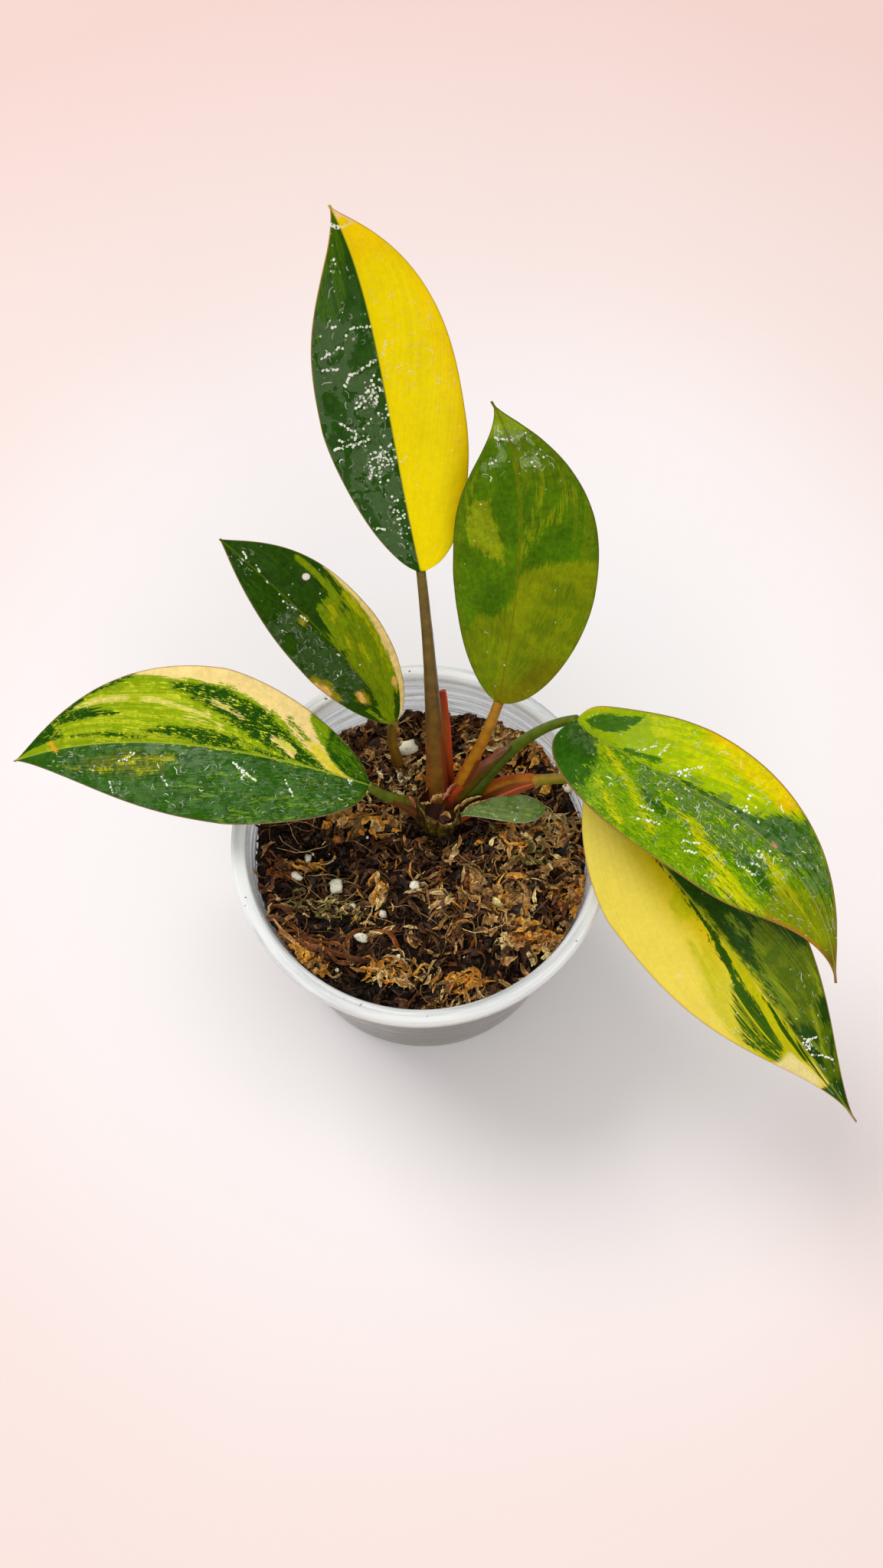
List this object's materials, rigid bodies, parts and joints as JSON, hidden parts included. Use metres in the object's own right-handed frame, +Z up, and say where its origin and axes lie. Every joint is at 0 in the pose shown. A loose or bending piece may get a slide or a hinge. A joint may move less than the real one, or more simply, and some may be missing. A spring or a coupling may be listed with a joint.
{
  "type": "potted variegated red congo philodendron",
  "caption": "Young variegated philodendron with broad green and yellow leaves on upright and spreading stalks, in a clear tapered nursery pot of coarse potting mix.",
  "frame": {"origin": "centre of the pot's flat base, on the surface that the pot stands on", "axes": "+Z up the pot's axis; -Y to the front, from where the picture was taken; +X to the right"},
  "size_m": [0.2212, 0.1494, 0.2102],
  "materials": {
    "clear_plastic": "thin clear moulded plastic",
    "potting_mix": "coarse damp bark, moss and perlite",
    "stem": "woody green-brown with dry scales",
    "sheath_red": "smooth red sheath",
    "blade_small": "grey-green leaf",
    "blade_tall": "glossy wet variegated leaf",
    "petiole_tall": "smooth leaf stalk",
    "blade_upright": "glossy wet variegated leaf",
    "petiole_upright": "smooth leaf stalk",
    "blade_back_left": "glossy wet variegated leaf",
    "petiole_back_left": "smooth leaf stalk",
    "blade_left": "glossy wet variegated leaf",
    "petiole_left": "smooth leaf stalk",
    "blade_right": "glossy wet variegated leaf",
    "petiole_right": "smooth leaf stalk",
    "blade_front_right": "glossy wet variegated leaf",
    "petiole_front_right": "smooth leaf stalk"
  },
  "bodies": {
    "root": {"pot": "clear_plastic", "potting_mix": "potting_mix", "stem": "stem", "sheath_red": "sheath_red", "blade_small": "blade_small", "blade_tall": "blade_tall", "petiole_tall": "petiole_tall", "blade_upright": "blade_upright", "petiole_upright": "petiole_upright", "blade_back_left": "blade_back_left", "petiole_back_left": "petiole_back_left", "blade_left": "blade_left", "petiole_left": "petiole_left", "blade_right": "blade_right", "petiole_right": "petiole_right", "blade_front_right": "blade_front_right", "petiole_front_right": "petiole_front_right"}
  },
  "joints": []
}
